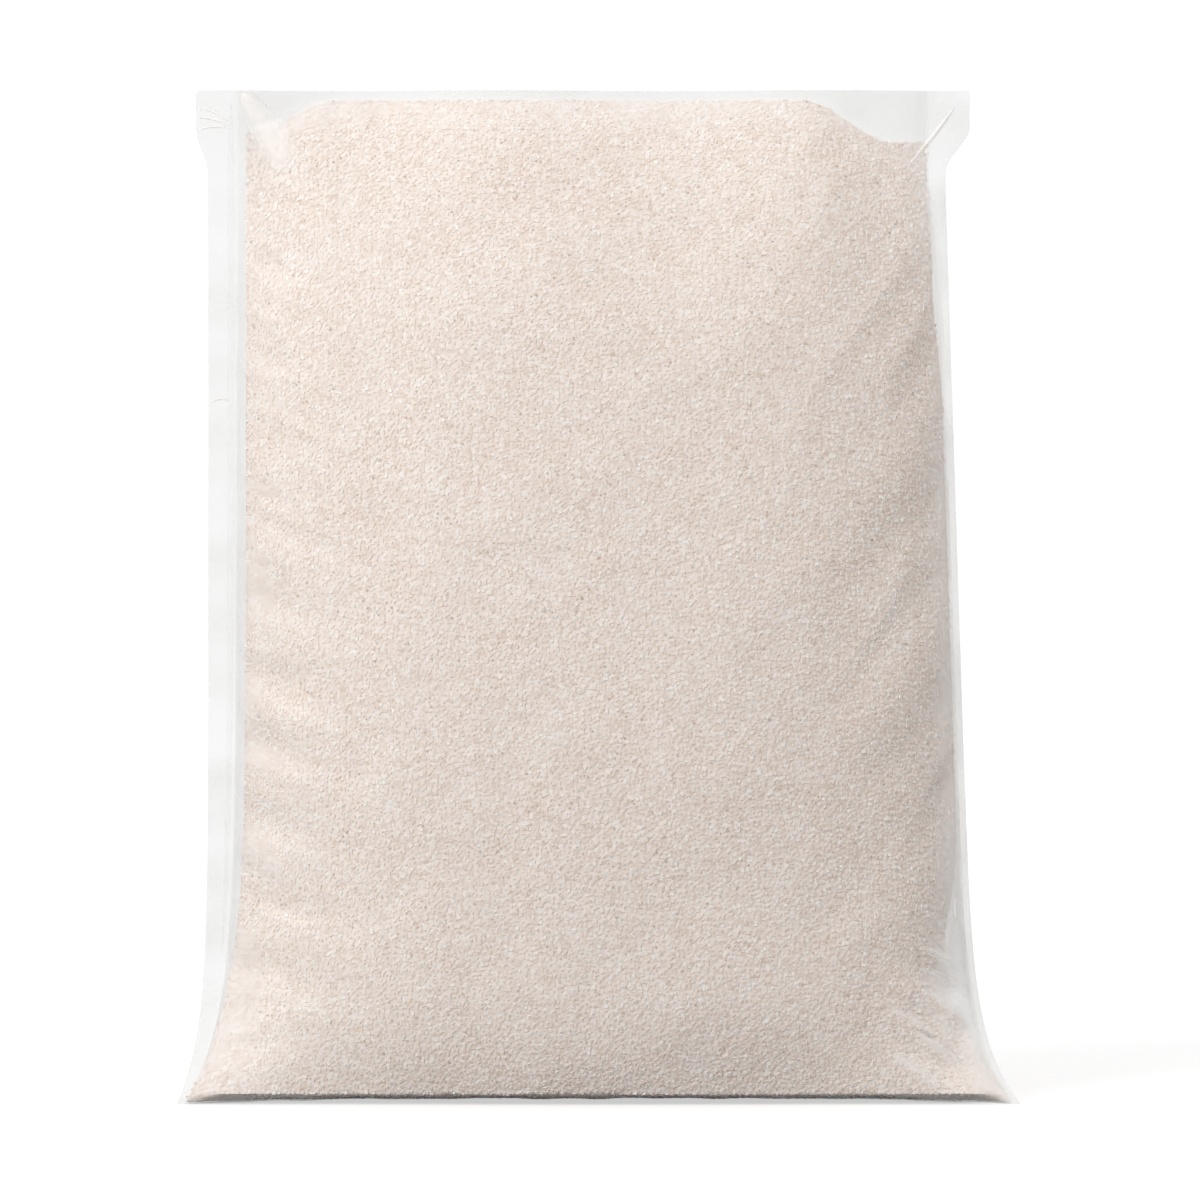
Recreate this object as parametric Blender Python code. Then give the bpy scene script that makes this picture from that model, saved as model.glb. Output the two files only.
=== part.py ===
"""A clear film bag packed tight with sugar, standing on its flattened base.

One closed solid holds the whole pack: the full body, the flat welded strip down each side,
the welded strip along the top and the pointed ear at each end of the base. The front panel
and the back panel are the same sheet, shaped by the same sizes, and a narrow rim joins them.
The origin is at the centre of the base, on the floor. +Z is up and the front faces -Y.
"""

import math
from collections import namedtuple

import bmesh
import bpy

# Driving dimensions, in metres.
HEIGHT = 0.2225  # floor to the cut edge of the top weld
FULL_DEPTH = 0.0505  # front to back through the fullest part
STRIP_THICKNESS = 0.0010  # the two films and their weld, along every edge

# Outline of the film, seen from the front: how far its two side edges stand from the middle.
LEFT_WAIST = 0.0862
RIGHT_WAIST = 0.0767
RIGHT_SPREAD = 0.0315  # how much the right edge moves out for each metre further down
RIGHT_SPREAD_FROM = 0.200
LEFT_EAR, LEFT_EAR_RISE = 0.0058, 0.0140  # how far an ear reaches out, and how high it fades
RIGHT_EAR, RIGHT_EAR_RISE = 0.0091, 0.0120
LEFT_SHOULDER, LEFT_SHOULDER_FROM = 0.0027, 0.2040  # the film opens out again at the top weld
RIGHT_SHOULDER, RIGHT_SHOULDER_FROM = 0.0053, 0.2045
SHOULDER_RISE = 0.0100

# Flat welded strips outside the sugar.
LEFT_STRIP, LEFT_STRIP_FOOT = 0.0062, 0.0015
RIGHT_STRIP = 0.0014
RIGHT_STRIP_TOP = 0.0022  # extra width under the top right corner
STRIP_FADE = 0.0250
TOP_STRIP = 0.0016

# The body: how its depth grows below the top weld, and how it rounds towards the sides.
TAPER = 0.0350  # the depth reaches 63% of the whole this far below the top weld
SIDE_POWER, SIDE_ROUND = 2.7, 0.72
RIGHT_DIP, RIGHT_DIP_FLAT, RIGHT_DIP_WIDTH = 0.0092, 0.0080, 0.0220  # empty film in the top corners
LEFT_DIP, LEFT_DIP_FLAT, LEFT_DIP_WIDTH = 0.0070, 0.0000, 0.0220
BELLY, BELLY_HEIGHT, BELLY_REACH = 0.0012, 0.062, 0.060  # sugar settles a little low down

# The base: each panel leans in above it, then turns under in a tight round.
FOOT_LEAN, FOOT_LEAN_HEIGHT, FOOT_LEAN_SHARE = 0.0032, 0.0260, 0.18
FOOT_ROUND_HEIGHT, FOOT_ROUND_DEPTH, FOOT_ROUND_POWER = 0.0016, 0.0090, 1.3
FOOT_ROUND_SHARE = 0.40  # of the depth, where the body is thinner than the rounding
FOLD_FADE_HEIGHT = 0.0095  # the folds die out this far above the base
FOLD_ROOM_DEPTH = 0.0060  # and where the body is thinner than this
EAR_FORWARD, EAR_FORWARD_RISE, EAR_FORWARD_POWER = 0.0190, 0.0200, 4
TOP_WEAVE = 0.0016  # the top weld isn't quite straight when seen from above

# Grid of each panel.
BODY_COLUMNS, LEFT_STRIP_COLUMNS, RIGHT_STRIP_COLUMNS = 38, 2, 1
BASE_ROWS, ROUND_ROWS, WALL_ROWS = 3, 4, 44
SIDE_CROWDING, TOP_CROWDING = 0.35, 0.10  # how much the columns and rows crowd there
MERGE = 0.00001

SUGAR_COLOUR = (0.74, 0.64, 0.55, 1.0)
SUGAR_ROUGHNESS = 0.45

# A fold runs from one point of a panel to another: x and z of its ends, its half width and how
# far it stands proud (or sinks, where negative).
Fold = namedtuple("Fold", "x0 z0 x1 z1 width rise")


def smooth_step(value):
    """0 below 0, 1 above 1, and smooth in between."""
    value = min(1.0, max(0.0, value))
    return value * value * (3.0 - 2.0 * value)


def left_edge(z):
    """x of the film's left edge at height z."""
    ear = LEFT_EAR * math.exp(-z / LEFT_EAR_RISE)
    shoulder = LEFT_SHOULDER * smooth_step((z - LEFT_SHOULDER_FROM) / SHOULDER_RISE)
    return -(LEFT_WAIST + ear + shoulder)


def right_edge(z):
    """x of the film's right edge at height z."""
    spread = RIGHT_SPREAD * max(0.0, RIGHT_SPREAD_FROM - z)
    ear = RIGHT_EAR * math.exp(-z / RIGHT_EAR_RISE)
    shoulder = RIGHT_SHOULDER * smooth_step((z - RIGHT_SHOULDER_FROM) / SHOULDER_RISE)
    return RIGHT_WAIST + spread + ear + shoulder


def left_strip(z):
    """Width of the welded strip outside the sugar, on the left, with the shoulder added."""
    shoulder = LEFT_SHOULDER * smooth_step((z - LEFT_SHOULDER_FROM) / SHOULDER_RISE)
    grown = (LEFT_STRIP - LEFT_STRIP_FOOT) * (1.0 - math.exp(-z / STRIP_FADE))
    return LEFT_STRIP_FOOT + grown + shoulder


def right_strip(z):
    """Width of the welded strip outside the sugar, on the right, with the shoulder added."""
    shoulder = RIGHT_SHOULDER * smooth_step((z - RIGHT_SHOULDER_FROM) / SHOULDER_RISE)
    top = RIGHT_STRIP_TOP * smooth_step((z - RIGHT_SHOULDER_FROM + STRIP_FADE) / STRIP_FADE)
    return RIGHT_STRIP + top + shoulder


def level_below_weld(across):
    """How far below the top weld the body starts, at a share across from -1 to 1."""
    half_width = (LEFT_WAIST + RIGHT_WAIST) / 2.0
    from_left, from_right = (1.0 + across) * half_width, (1.0 - across) * half_width
    left = LEFT_DIP * (1.0 - smooth_step((from_left - LEFT_DIP_FLAT) / LEFT_DIP_WIDTH))
    right = RIGHT_DIP * (1.0 - smooth_step((from_right - RIGHT_DIP_FLAT) / RIGHT_DIP_WIDTH))
    return TOP_STRIP + left + right


def folds():
    """The broad folds of the front panel, which its sugar follows."""
    found = []
    # The pull lines that fan down and inwards from the left weld.
    for step in range(6):
        z = 0.112 - 0.0165 * step
        reach = 0.021 + 0.002 * (step % 3)
        found.append(Fold(-0.0790, z, -0.0790 + reach, z - 0.0070, 0.0038, -0.0015))
    # The longer ones that climb to the right weld.
    for step in range(5):
        z = 0.1640 - 0.0240 * step - 0.0050 * (step % 2)
        reach = 0.0230 + 0.0050 * (step % 3)
        found.append(Fold(0.0760, z, 0.0760 - reach, z - 1.1 * reach, 0.0056, -0.0010))
    # The short ones that spread from the two ears.
    for step in range(3):
        z = 0.0330 - 0.0085 * step
        found.append(Fold(0.0800, z - 0.0100, 0.0600, z, 0.0034, -0.0014))
        found.append(Fold(-0.0850, z - 0.0060, -0.0660, z - 0.0010, 0.0036, -0.0013))
    # The pleat at each end of the top weld.
    found.append(Fold(-0.0795, HEIGHT, -0.0650, 0.2060, 0.0034, 0.0016))
    found.append(Fold(0.0790, HEIGHT, 0.0640, 0.2020, 0.0036, -0.0018))
    return found


def fold_rise(fold, x, z):
    """How far one fold moves the panel at a point."""
    along_x, along_z = fold.x1 - fold.x0, fold.z1 - fold.z0
    length_squared = along_x * along_x + along_z * along_z
    share = ((x - fold.x0) * along_x + (z - fold.z0) * along_z) / length_squared
    share = min(1.0, max(0.0, share))
    off_x = x - (fold.x0 + share * along_x)
    off_z = z - (fold.z0 + share * along_z)
    across = math.hypot(off_x, off_z) / fold.width
    fade = 1.0 - smooth_step(share)
    return fold.rise * math.exp(-across * across) * (0.25 + 0.75 * fade)


def mirrored(fold):
    """The same fold on the back panel, where the other weld is on this side."""
    return fold._replace(x0=-0.93 * fold.x0, x1=-0.93 * fold.x1, rise=0.8 * fold.rise)


def body_depth(across, z):
    """Half the body's depth at a share across and a height, before folds and base rounding."""
    below = max(0.0, HEIGHT - level_below_weld(across) - z)
    tapered = 1.0 - math.exp(-below / TAPER)
    sides = (1.0 - min(1.0, abs(across)) ** SIDE_POWER) ** SIDE_ROUND
    belly = BELLY * math.exp(-(((z - BELLY_HEIGHT) / BELLY_REACH) ** 2))
    return (FULL_DEPTH / 2.0 - STRIP_THICKNESS / 2.0 - BELLY + belly) * tapered * sides


def rounded_foot(depth, z):
    """The depth once the panel leans in above the base and its lower edge turns under."""
    lean = min(FOOT_LEAN, FOOT_LEAN_SHARE * depth)
    depth_left = depth - lean * max(0.0, 1.0 - z / FOOT_LEAN_HEIGHT) ** 2
    if z >= FOOT_ROUND_HEIGHT:
        return depth_left
    inwards = min(FOOT_ROUND_DEPTH, FOOT_ROUND_SHARE * depth)
    return depth_left - inwards * (1.0 - z / FOOT_ROUND_HEIGHT) ** FOOT_ROUND_POWER


def middle_plane(across, z, height):
    """y of the plane that the two panels meet in: the ears come forward, the top weld weaves."""
    ear = EAR_FORWARD * math.exp(-z / EAR_FORWARD_RISE) * abs(across) ** EAR_FORWARD_POWER
    weave = TOP_WEAVE * math.sin(2.2 * math.pi * across) * (z / height) ** 4
    return weave - ear


def rows():
    """(z, share of the base) of each row, from the seam under the base up to the top weld."""
    found = [(0.0, step / BASE_ROWS) for step in range(BASE_ROWS)]
    for step in range(ROUND_ROWS):
        angle = 0.5 * math.pi * step / ROUND_ROWS
        found.append((FOOT_ROUND_HEIGHT * (1.0 - math.cos(angle)), 1.0))
    for step in range(WALL_ROWS + 1):
        share = step / WALL_ROWS
        crowded = share + TOP_CROWDING * math.sin(math.pi * share) * share
        found.append((FOOT_ROUND_HEIGHT + (HEIGHT - FOOT_ROUND_HEIGHT) * crowded, 1.0))
    return found


def columns():
    """(part of the panel, share of that part) of each column, from left to right."""
    found = [("left", step / LEFT_STRIP_COLUMNS) for step in range(LEFT_STRIP_COLUMNS)]
    found += [("body", step / BODY_COLUMNS) for step in range(BODY_COLUMNS)]
    found += [("right", step / RIGHT_STRIP_COLUMNS) for step in range(RIGHT_STRIP_COLUMNS + 1)]
    return found


def place(column, row, side, panel_folds):
    """The point of a panel at a column and a row. side is -1 for the front and 1 for the back."""
    part, share = column
    z, base_share = row
    outer_left, outer_right = left_edge(z), right_edge(z)
    inner_left, inner_right = outer_left + left_strip(z), outer_right - right_strip(z)
    if part == "left":
        x, across = outer_left + share * (inner_left - outer_left), -1.0
    elif part == "right":
        x, across = inner_right + share * (outer_right - inner_right), 1.0
    else:
        # The columns crowd towards the sides, where the body rounds off.
        even = 2.0 * share - 1.0
        across = even + SIDE_CROWDING * (math.sin(math.pi * (share - 0.5)) - even)
        x = inner_left + (across + 1.0) / 2.0 * (inner_right - inner_left)
    depth = rounded_foot(body_depth(across, z), z)
    rise = sum(fold_rise(fold, x, z) for fold in panel_folds)
    room = smooth_step(depth / FOLD_ROOM_DEPTH) * smooth_step(z / FOLD_FADE_HEIGHT)
    off_middle = (STRIP_THICKNESS / 2.0 + depth + rise * room) * base_share
    off_middle = max(off_middle, STRIP_THICKNESS / 2.0)
    return x, middle_plane(across, z, HEIGHT) + side * off_middle, z


def add_panel(mesh, side, panel_folds):
    """Adds one panel as a grid and returns its border edges."""
    panel_columns, panel_rows = columns(), rows()
    made = bmesh.ops.create_grid(
        mesh,
        x_segments=len(panel_columns) - 1,
        y_segments=len(panel_rows) - 1,
        size=1.0,
    )
    for vertex in made["verts"]:
        column = round((vertex.co.x + 1.0) / 2.0 * (len(panel_columns) - 1))
        row = round((vertex.co.y + 1.0) / 2.0 * (len(panel_rows) - 1))
        vertex.co = place(panel_columns[column], panel_rows[row], side, panel_folds)
    edges = {edge for vertex in made["verts"] for edge in vertex.link_edges}
    return [edge for edge in edges if edge.is_boundary]


def centre_on_floor(mesh):
    """Moves the solid so that the middle of its box stands over the origin."""
    xs = [vertex.co.x for vertex in mesh.verts]
    ys = [vertex.co.y for vertex in mesh.verts]
    shift = ((min(xs) + max(xs)) / 2.0, (min(ys) + max(ys)) / 2.0)
    for vertex in mesh.verts:
        vertex.co.x -= shift[0]
        vertex.co.y -= shift[1]


def bag_mesh():
    """The whole pack as one closed mesh."""
    mesh = bmesh.new()
    front_folds = folds()
    back_folds = [mirrored(fold) for fold in front_folds]
    rim = add_panel(mesh, -1, front_folds) + add_panel(mesh, 1, back_folds)
    bmesh.ops.bridge_loops(mesh, edges=rim)
    bmesh.ops.remove_doubles(mesh, verts=mesh.verts, dist=MERGE)
    bmesh.ops.dissolve_degenerate(mesh, edges=mesh.edges, dist=MERGE)
    bmesh.ops.recalc_face_normals(mesh, faces=mesh.faces)
    centre_on_floor(mesh)
    data = bpy.data.meshes.new("sugar_bag")
    mesh.to_mesh(data)
    mesh.free()
    return data


def sugar_material():
    """The pale raw sugar that shows through the film, with the film's soft shine."""
    material = bpy.data.materials.new("sugar_under_film")
    material.use_nodes = True
    shader = material.node_tree.nodes["Principled BSDF"]
    shader.inputs["Base Color"].default_value = SUGAR_COLOUR
    shader.inputs["Roughness"].default_value = SUGAR_ROUGHNESS
    shader.inputs["Metallic"].default_value = 0.0
    return material


def clear_scene():
    """Removes every object the scene opens with."""
    for item in list(bpy.data.objects):
        bpy.data.objects.remove(item, do_unlink=True)


def main():
    """Builds the bag."""
    clear_scene()
    bag = bpy.data.objects.new("sugar_bag", bag_mesh())
    bag.data.materials.append(sugar_material())
    bpy.context.scene.collection.objects.link(bag)
    bag.data.shade_smooth()
    bag.data.set_sharp_from_angle(angle=math.radians(50.0))


main()
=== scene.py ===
"""The looks of a clear film bag packed tight with raw sugar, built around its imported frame.

The bag is two film panels, welded together down a wide strip on the left, a narrow one on the
right and a thin one along the top. Inside it is a core of packed sugar, covered with loose
crystals of a few kinds that press against the film. Everything is in metres, +Z up, and the
front panel faces -Y.
"""

import logging
import math
from dataclasses import dataclass
from enum import Enum, IntEnum

import bpy
import numpy as np
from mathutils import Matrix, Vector


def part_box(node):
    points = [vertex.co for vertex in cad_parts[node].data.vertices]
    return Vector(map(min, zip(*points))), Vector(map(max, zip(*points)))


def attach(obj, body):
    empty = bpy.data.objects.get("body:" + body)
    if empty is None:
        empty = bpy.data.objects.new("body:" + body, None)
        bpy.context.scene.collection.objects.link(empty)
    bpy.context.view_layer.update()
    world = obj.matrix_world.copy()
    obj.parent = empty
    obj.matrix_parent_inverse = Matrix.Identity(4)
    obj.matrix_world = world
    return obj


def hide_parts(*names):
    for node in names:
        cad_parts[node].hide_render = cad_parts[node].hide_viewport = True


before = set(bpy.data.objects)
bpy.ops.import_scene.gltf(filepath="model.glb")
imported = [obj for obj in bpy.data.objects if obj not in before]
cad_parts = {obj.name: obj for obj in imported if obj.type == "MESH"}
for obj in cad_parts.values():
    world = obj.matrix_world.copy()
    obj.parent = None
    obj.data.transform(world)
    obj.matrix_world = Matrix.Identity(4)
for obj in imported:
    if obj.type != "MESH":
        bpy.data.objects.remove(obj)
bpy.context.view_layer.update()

BODY = "root"
NODE = "sugar_bag"
MERGE_DISTANCE = 0.00001
RIM_ANGLE = math.radians(60.0)
FULL_DEPTH = 0.0505  # of the plain body, before its folds
BACK_REACH = 0.93  # how far out a fold of the front lies on the back, as a share
BACK_RISE = 0.8  # and how deep it is there, as a share

Triple = tuple[float, float, float]
Values = np.ndarray
Piece = bpy.types.Object
Socket = bpy.types.NodeSocket

log = logging.getLogger("sugar_bag")


def smooth_step(value: Values | float) -> Values:
    """Ease from 0 to 1.

    Args:
        value: where to read the curve; below 0 it gives 0 and above 1 it gives 1.

    Returns:
        The eased value, in an array.
    """
    held = np.clip(value, 0.0, 1.0)
    return held * held * (3.0 - 2.0 * held)


def bell(value: Values, reach: float) -> Values:
    """Give a bell curve: 1 at 0, and 37% of that a reach away."""
    return np.exp(-((value / reach) ** 2))


def soft_noise(u: Values, v: Values, seed: int) -> Values:
    """Smooth noise with one cell for each whole step of u and v.

    Args:
        u: first coordinate, in cells.
        v: second coordinate, in cells.
        seed: which pattern; the same seed always gives the same one.

    Returns:
        Values from -1 to 1.
    """
    cells = 64
    table = np.random.default_rng(seed).uniform(-1.0, 1.0, (cells, cells))
    column, row = np.floor(u).astype(int), np.floor(v).astype(int)
    across, along = smooth_step(u - column), smooth_step(v - row)

    def corner(right: int, up: int) -> Values:
        """Read the table at one corner of every cell."""
        return table[(column + right) % cells, (row + up) % cells]

    low = corner(0, 0) * (1.0 - across) + corner(1, 0) * across
    high = corner(0, 1) * (1.0 - across) + corner(1, 1) * across
    return low * (1.0 - along) + high * along


class Pattern(IntEnum):
    """The seeds of the random patterns, so that no two are alike."""

    CRYSTALS = 7
    FRONT_WRINKLES = 11
    CRUMPLES = 23
    BACK_WRINKLES = 31
    SCALLOPS = 41
    LEFT_WAVE = 51
    LEFT_RIPPLE = 52
    RIGHT_WAVE = 53
    MOTTLE = 61
    STRIP_HAZE = 62
    RIDGES = 63
    RIDGE_BENDS = 64
    HAZE_FAN = 65


class Side(Enum):
    """The two panels of the bag, by the sign of the direction they face."""

    FRONT = -1
    BACK = 1


@dataclass(frozen=True)
class Crease:
    """A fold in a panel, along a straight line that fades out at its far end.

    Args:
        start: x and z where the fold is deepest.
        end: x and z where it has faded.
        width: half its width.
        rise: how far it stands proud, or sinks where negative.
        far_share: the share of its rise that is left at its far end.
    """

    start: tuple[float, float]
    end: tuple[float, float]
    width: float
    rise: float
    far_share: float = 0.2

    def rise_at(self, x: Values, z: Values) -> Values:
        """Give how far this fold moves the panel at some points.

        Args:
            x: the points' x.
            z: the points' z.

        Returns:
            The rise at each point.
        """
        run_x, run_z = self.end[0] - self.start[0], self.end[1] - self.start[1]
        along = (x - self.start[0]) * run_x + (z - self.start[1]) * run_z
        along = np.clip(along / (run_x * run_x + run_z * run_z), 0.0, 1.0)
        off_x = x - (self.start[0] + along * run_x)
        off_z = z - (self.start[1] + along * run_z)
        section = np.exp(-(off_x * off_x + off_z * off_z) / self.width**2)
        fading = (1.0 - self.far_share) * (1.0 - smooth_step(along))
        return self.rise * section * (self.far_share + fading)

    def mirrored(self) -> "Crease":
        """Give the same fold on the back panel, where left and right change places."""
        start, end = ((-BACK_REACH * x, z) for x, z in (self.start, self.end))
        return Crease(start, end, self.width, BACK_RISE * self.rise)


@dataclass(frozen=True)
class Fan:
    """Fine wrinkles that run inwards from a weld.

    Args:
        cell: how far apart they are.
        length: how long they are.
        slope: how far they drop for each metre inwards.
        reach: how far in they fade.
        rise: how strong they are.
        start: where in the noise the weld lies.
    """

    cell: float
    length: float
    slope: float
    reach: float
    rise: float
    start: float = 5.0

    def ridges(self, inwards: Values, z: Values, seed: int, sharpness: float = 2.0) -> Values:
        """Give the bare wrinkles, 1 along their crests, at distances inwards and heights."""
        level = (z + self.slope * inwards) / self.cell
        return 1.0 - sharpness * np.abs(soft_noise(level, inwards / self.length + self.start, seed))

    def rise_at(self, inwards: Values, z: Values, seed: int) -> Values:
        """Give the wrinkles' rise at distances inwards and heights."""
        return self.ridges(inwards, z, seed) * bell(inwards, self.reach) * self.rise


@dataclass(frozen=True)
class SoftSpot:
    """A soft patch on the front: its middle, how far it fades each way and its strength."""

    x: float
    z: float
    width: float
    height: float
    strength: float

    def at(self, x: Values, z: Values) -> Values:
        """Give the patch's strength at some points."""
        return self.strength * bell(x - self.x, self.width) * bell(z - self.z, self.height)


@dataclass(frozen=True)
class BagForm:
    """The form that the film takes: its outline, its depth and its folds.

    The height comes from the frame, and the outline, the depth and the broad folds follow the
    frame's own. Here alone the foot turns under deeper, the welds are thinner, the side strips
    wave, and the fine wrinkles are added.
    """

    height: float
    depth: float
    left_waist: float = 0.0862
    right_waist: float = 0.0767
    right_spread: float = 0.0315
    right_spread_from: float = 0.200
    left_ear: float = 0.0058
    left_ear_rise: float = 0.0140
    right_ear: float = 0.0091
    right_ear_rise: float = 0.0120
    left_shoulder: float = 0.0027
    right_shoulder: float = 0.0053
    left_shoulder_from: float = 0.2040
    right_shoulder_from: float = 0.2045
    shoulder_rise: float = 0.0100
    left_strip_width: float = 0.0062
    left_strip_foot: float = 0.0015
    right_strip_width: float = 0.0014
    right_strip_top: float = 0.0022
    strip_fade: float = 0.0250
    top_strip: float = 0.0016
    left_dip: float = 0.0070
    left_dip_width: float = 0.0220
    right_dip: float = 0.0092
    right_dip_flat: float = 0.0080
    right_dip_width: float = 0.0220
    taper: float = 0.0350
    side_power: float = 2.7
    side_round: float = 0.72
    belly: float = 0.0012
    belly_height: float = 0.062
    belly_reach: float = 0.060
    foot_lean: float = 0.0048
    foot_lean_height: float = 0.0260
    foot_lean_share: float = 0.21
    foot_round_height: float = 0.0022
    foot_round_depth: float = 0.0180
    foot_round_power: float = 1.3
    foot_scallop: float = 0.22
    foot_scallops: float = 14.0
    foot_scallop_start: float = 20.0
    foot_round_share: float = 0.75
    fold_fade_height: float = 0.0095
    fold_room_depth: float = 0.0060
    ear_forward: float = 0.0190
    ear_forward_rise: float = 0.0200
    ear_forward_power: int = 4
    top_weave: float = 0.0016
    top_weave_bends: float = 2.2
    top_weave_power: int = 4
    weld_half: float = 0.00016
    solid_weld_half: float = 0.0005
    left_wave: float = 0.00075
    right_wave: float = 0.00030
    left_wave_cell: float = 0.0130
    left_ripple_cell: float = 0.0042
    left_ripple_share: float = 0.35
    right_wave_cell: float = 0.0100
    wave_fade: float = 0.010
    left_fan: Fan = Fan(0.0052, 0.030, 0.42, 0.021, 0.00050)
    right_fan: Fan = Fan(0.0170, 0.022, 1.30, 0.034, 0.00042)
    gather_cell: float = 0.0065
    gather_length: float = 0.030
    gather_reach: float = 0.012
    gather_rise: float = 0.00040
    swell_size: float = 0.024
    swell_rise: float = 0.00045
    dapple_size: float = 0.009
    dapple_rise: float = 0.00016
    folds: tuple[Crease, ...] = ()

    def left_edge(self, z: Values) -> Values:
        """Give x of the film's left edge at a height.

        Args:
            z: heights.

        Returns:
            Its x at each height.
        """
        ear = self.left_ear * np.exp(-z / self.left_ear_rise)
        rise = (z - self.left_shoulder_from) / self.shoulder_rise
        return -(self.left_waist + ear + self.left_shoulder * smooth_step(rise))

    def right_edge(self, z: Values) -> Values:
        """Give x of the film's right edge at a height.

        Args:
            z: heights.

        Returns:
            Its x at each height.
        """
        spread = self.right_spread * np.maximum(0.0, self.right_spread_from - z)
        ear = self.right_ear * np.exp(-z / self.right_ear_rise)
        rise = (z - self.right_shoulder_from) / self.shoulder_rise
        return self.right_waist + spread + ear + self.right_shoulder * smooth_step(rise)

    def inner_left(self, z: Values) -> Values:
        """Give x of the left weld's inner border at a height.

        Args:
            z: heights.

        Returns:
            Its x at each height.
        """
        grown = self.left_strip_width - self.left_strip_foot
        shoulder = self.left_shoulder * smooth_step((z - self.left_shoulder_from) / self.shoulder_rise)
        width = self.left_strip_foot + grown * (1.0 - np.exp(-z / self.strip_fade)) + shoulder
        return self.left_edge(z) + width

    def inner_right(self, z: Values) -> Values:
        """Give x of the right weld's inner border at a height.

        Args:
            z: heights.

        Returns:
            Its x at each height.
        """
        rise = (z - self.right_shoulder_from) / self.shoulder_rise
        top_rise = (z - self.right_shoulder_from + self.strip_fade) / self.strip_fade
        shoulder = self.right_shoulder * smooth_step(rise)
        top = self.right_strip_top * smooth_step(top_rise)
        return self.right_edge(z) - self.right_strip_width - top - shoulder

    def across(self, x: Values, z: Values) -> Values:
        """Give the share across the body, from -1 at the left weld to 1 at the right one."""
        left, right = self.inner_left(z), self.inner_right(z)
        return np.clip(2.0 * (x - left) / (right - left) - 1.0, -1.0, 1.0)

    def level_below_top(self, across: Values) -> Values:
        """Give how far below the top edge the film parts, at a share across.

        Args:
            across: shares across the body.

        Returns:
            The distance at each share.
        """
        half_width = (self.left_waist + self.right_waist) / 2.0
        from_left, from_right = (1.0 + across) * half_width, (1.0 - across) * half_width
        left = self.left_dip * (1.0 - smooth_step(from_left / self.left_dip_width))
        into = (from_right - self.right_dip_flat) / self.right_dip_width
        return self.top_strip + left + self.right_dip * (1.0 - smooth_step(into))

    def half_depth(self, across: Values, z: Values) -> Values:
        """Give half the body's depth, before its folds.

        Args:
            across: share across the body.
            z: height.

        Returns:
            The half depth at each point, 0 on the welds.
        """
        below = np.maximum(0.0, self.height - self.level_below_top(across) - z)
        tapered = 1.0 - np.exp(-below / self.taper)
        sides = np.maximum(0.0, 1.0 - np.abs(across) ** self.side_power) ** self.side_round
        belly = self.belly * bell(z - self.belly_height, self.belly_reach)
        full = self.depth / 2.0 - self.solid_weld_half - self.belly + belly
        body = full * tapered * sides
        lean = np.minimum(self.foot_lean, self.foot_lean_share * body)
        leaned = body - lean * np.maximum(0.0, 1.0 - z / self.foot_lean_height) ** 2
        inwards = np.minimum(self.foot_round_depth, self.foot_round_share * body)
        scallops = self.foot_scallops * across + self.foot_scallop_start
        inwards = inwards * (1.0 + self.foot_scallop * soft_noise(scallops, across, Pattern.SCALLOPS))
        share = np.clip(1.0 - z / self.foot_round_height, 0.0, 1.0)
        return leaned - inwards * share**self.foot_round_power

    def middle(self, across: Values, z: Values) -> Values:
        """Give y of the surface that the two panels meet in.

        Args:
            across: shares across the body.
            z: heights.

        Returns:
            Its y at each point.
        """
        reach = self.ear_forward * np.exp(-z / self.ear_forward_rise)
        ear = reach * np.abs(across) ** self.ear_forward_power
        weave = self.top_weave * np.sin(self.top_weave_bends * math.pi * across)
        weave = weave * (z / self.height) ** self.top_weave_power
        return weave - ear

    def strip_wave(self, x: Values, z: Values) -> Values:
        """Give how far the two side strips wave forwards and back, most at their cut edges.

        Args:
            x: the points' x.
            z: the points' z.

        Returns:
            The wave at each point, 0 on the body.
        """
        left, right = self.inner_left(z), self.inner_right(z)
        into_left = np.clip((left - x) / (left - self.left_edge(z)), 0.0, 1.0)
        into_right = np.clip((x - right) / (self.right_edge(z) - right), 0.0, 1.0)
        level = np.zeros_like(z)
        slow = soft_noise(z / self.left_wave_cell, level, Pattern.LEFT_WAVE)
        quick = soft_noise(z / self.left_ripple_cell, level, Pattern.LEFT_RIPPLE)
        wave = self.left_wave * (slow + self.left_ripple_share * quick) * into_left
        slow = soft_noise(z / self.right_wave_cell, level, Pattern.RIGHT_WAVE)
        wave += self.right_wave * slow * into_right
        return wave * smooth_step(z / self.wave_fade)

    def fold_rise(self, x: Values, z: Values, side: Side) -> Values:
        """Give how far the folds of one panel move it outwards, where it is full depth.

        Args:
            x: the points' x.
            z: the points' z.
            side: which panel.

        Returns:
            The rise at each point.
        """
        rise = np.zeros_like(x)
        for fold in self.folds:
            shown = fold if side is Side.FRONT else fold.mirrored()
            rise += shown.rise_at(x, z)
        return rise + self.puckers(x, z, side)

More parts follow.
